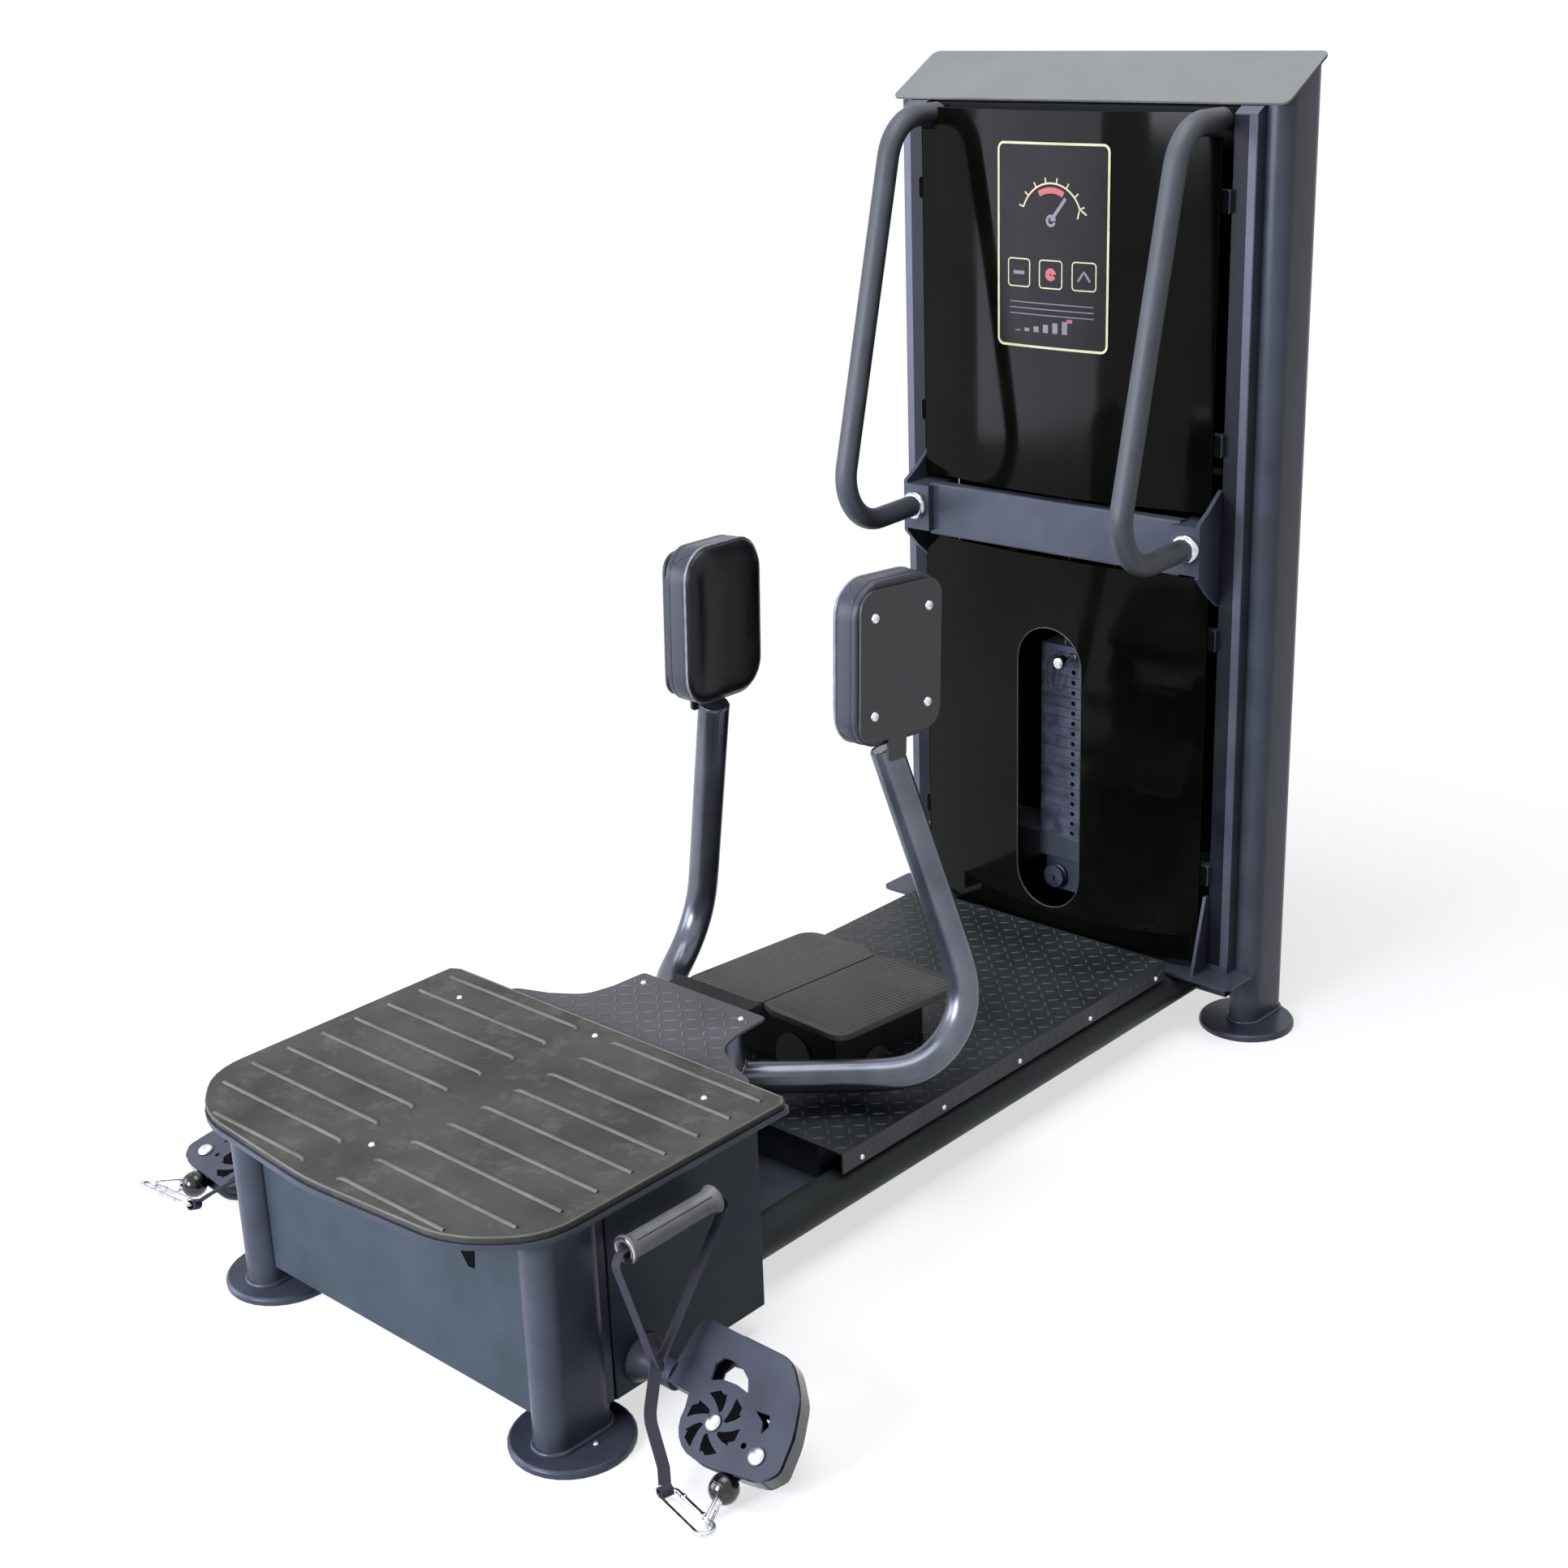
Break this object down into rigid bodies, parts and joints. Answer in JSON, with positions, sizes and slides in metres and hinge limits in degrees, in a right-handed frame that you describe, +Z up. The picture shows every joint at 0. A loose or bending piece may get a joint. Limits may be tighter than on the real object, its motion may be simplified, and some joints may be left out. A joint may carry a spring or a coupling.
{
  "type": "standing hip and glute machine",
  "caption": "Standing glute machine: weight tower with grab bars, deck with swinging padded arms and foot plates, step-up platform, side swivel pulleys with hand straps.",
  "frame": {"origin": "on the floor, at the centre of the bounding box's footprint, which is on the plane between the left and right halves", "axes": "+Z up, -Y towards the user's end with the step-up platform, +Y towards the weight tower, +X the side with the arm at the right hand of a user who faces the tower"},
  "size_m": [1.2946, 1.9, 1.7057],
  "materials": {
    "powder_coat": "satin powder coat, slate",
    "box_coat": "satin powder coat, blue-grey",
    "cap_coat": "satin powder coat, light grey",
    "diamond_plate": "raised tread pattern, satin black",
    "mat_rubber": "ribbed, matte",
    "foot_rubber": "fine textured, matte",
    "grip_rubber": "matte sleeve",
    "black_acrylic": "polished",
    "placard_face": "printed, satin",
    "pad_vinyl": "grained upholstery vinyl",
    "back_sheet": "satin",
    "weight_iron": "painted, satin",
    "chrome": "polished",
    "dark_steel": "satin black",
    "webbing": "woven",
    "ball_plastic": "polished"
  },
  "bodies": {
    "frame": {"tower_foot_left": "powder_coat", "tower_foot_right": "powder_coat", "front_foot_left": "powder_coat", "front_foot_right": "powder_coat", "post_left": "powder_coat", "post_right": "powder_coat", "rear_cover": "black_acrylic", "top_cap": "cap_coat", "top_beam": "powder_coat", "stack_base": "powder_coat", "base_frame": "powder_coat", "panel_lower": "black_acrylic", "panel_upper": "black_acrylic", "placard": "placard_face", "cross_member": "powder_coat", "grab_bar_left": "chrome", "grab_bar_right": "chrome", "bar_grip_left": "grip_rubber", "bar_grip_right": "grip_rubber", "guide_rod_left": "chrome", "guide_rod_right": "chrome", "weight_plates": "weight_iron", "base_tube_left": "powder_coat", "base_tube_right": "powder_coat", "deck": "diamond_plate", "front_leg_left": "powder_coat", "front_leg_right": "powder_coat", "front_box": "box_coat", "platform_plate": "powder_coat", "platform_mat": "mat_rubber", "neck_plate": "diamond_plate", "foot_plate_left": "foot_rubber", "foot_plate_right": "foot_rubber", "foot_bracket": "dark_steel", "pivot_frame": "dark_steel", "swivel_spigot_left": "powder_coat", "swivel_spigot_right": "powder_coat"},
    "swing_arm_right": {"arm_right": "powder_coat", "pad_right": "pad_vinyl", "pad_back_right": "back_sheet"},
    "swing_arm_left": {"arm_left": "powder_coat", "pad_left": "pad_vinyl", "pad_back_left": "back_sheet"},
    "stack_top": {"stack_head": "weight_iron"},
    "selector": {"selector_pin": "chrome", "pin_lanyard": "webbing"},
    "tower_pulley": {"lower_pulley": "weight_iron"},
    "swivel_right": {"pulley_housing_right": "powder_coat"},
    "sheave_right": {"pulley_sheave_right": "dark_steel"},
    "cable_stop_right": {"cable_end_right": "ball_plastic"},
    "hook_right": {"carabiner_right": "chrome"},
    "handle_right": {"hand_strap_right": "webbing", "strap_grip_right": "grip_rubber"},
    "swivel_left": {"pulley_housing_left": "powder_coat"},
    "sheave_left": {"pulley_sheave_left": "dark_steel"},
    "cable_stop_left": {"cable_end_left": "ball_plastic"},
    "hook_left": {"carabiner_left": "chrome"},
    "handle_left": {"hand_strap_left": "webbing", "strap_grip_left": "grip_rubber"}
  },
  "joints": [
    {"name": "arm_right_swing", "type": "hinge", "parent": "frame", "child": "swing_arm_right", "pos_m": [0.052, -0.184, 0.21], "axis": [0, 0, -1], "range_deg": [0, 55]},
    {"name": "arm_left_swing", "type": "hinge", "parent": "frame", "child": "swing_arm_left", "pos_m": [-0.052, -0.184, 0.21], "axis": [0, 0, 1], "range_deg": [0, 55]},
    {"name": "stack_lift", "type": "slide", "parent": "frame", "child": "stack_top", "axis": [0, 0, 1], "range_m": [0, 0.31]},
    {"name": "selector_pull", "type": "slide", "parent": "stack_top", "child": "selector", "axis": [0, 1, 0], "range_m": [-0.045, 0]},
    {"name": "tower_pulley_spin", "type": "hinge", "parent": "frame", "child": "tower_pulley", "pos_m": [-0.046, 0.842, 0.195], "axis": [0, 1, 0], "continuous": true},
    {"name": "swivel_right_turn", "type": "hinge", "parent": "frame", "child": "swivel_right", "pos_m": [0.3523, -0.6785, 0.0845], "axis": [-1, 0, 0], "range_deg": [0, 75]},
    {"name": "sheave_right_spin", "type": "hinge", "parent": "swivel_right", "child": "sheave_right", "pos_m": [0.5213, -0.70608, 0.06295], "axis": [0, -0.6157, 0.788], "continuous": true},
    {"name": "cable_right_pull", "type": "slide", "parent": "swivel_right", "child": "cable_stop_right", "axis": [0.1979, -0.7724, -0.6035], "range_m": [0, 0.03], "stiffness_N_per_m": 150, "springref_m": -0.06},
    {"name": "hook_right_tilt", "type": "hinge", "parent": "cable_stop_right", "child": "hook_right", "pos_m": [0.59705, -0.80767, 0.01427], "axis": [1, 0, 0], "range_deg": [0, 8]},
    {"name": "handle_right_lift", "type": "hinge", "parent": "hook_right", "child": "handle_right", "pos_m": [0.51143, -0.79988, 0.01274], "axis": [0.2402, 0.9707, 0], "range_deg": [0, 40]},
    {"name": "swivel_left_turn", "type": "hinge", "parent": "frame", "child": "swivel_left", "pos_m": [-0.3523, -0.6785, 0.0845], "axis": [-1, 0, 0], "range_deg": [-20, 52]},
    {"name": "sheave_left_spin", "type": "hinge", "parent": "swivel_left", "child": "sheave_left", "pos_m": [-0.5213, -0.71231, 0.07544], "axis": [0, -0.2588, 0.9659], "continuous": true},
    {"name": "cable_left_pull", "type": "slide", "parent": "swivel_left", "child": "cable_stop_left", "axis": [-0.1979, -0.9468, -0.2537], "range_m": [0, 0.03], "stiffness_N_per_m": 150, "springref_m": -0.06},
    {"name": "hook_left_tilt", "type": "hinge", "parent": "cable_stop_left", "child": "hook_left", "pos_m": [-0.59705, -0.82485, 0.07032], "axis": [1, 0, 0], "range_deg": [0, 8]},
    {"name": "handle_left_lift", "type": "hinge", "parent": "hook_left", "child": "handle_left", "pos_m": [-0.51143, -0.81827, 0.06587], "axis": [0.2402, -0.8936, 0.3793], "range_deg": [0, 40]}
  ],
  "couplings": [
    {"joint": "arm_left_swing", "follows": "arm_right_swing", "ratio": 1},
    {"joint": "stack_lift", "follows": "arm_right_swing", "m_per_rad": 0.32}
  ]
}
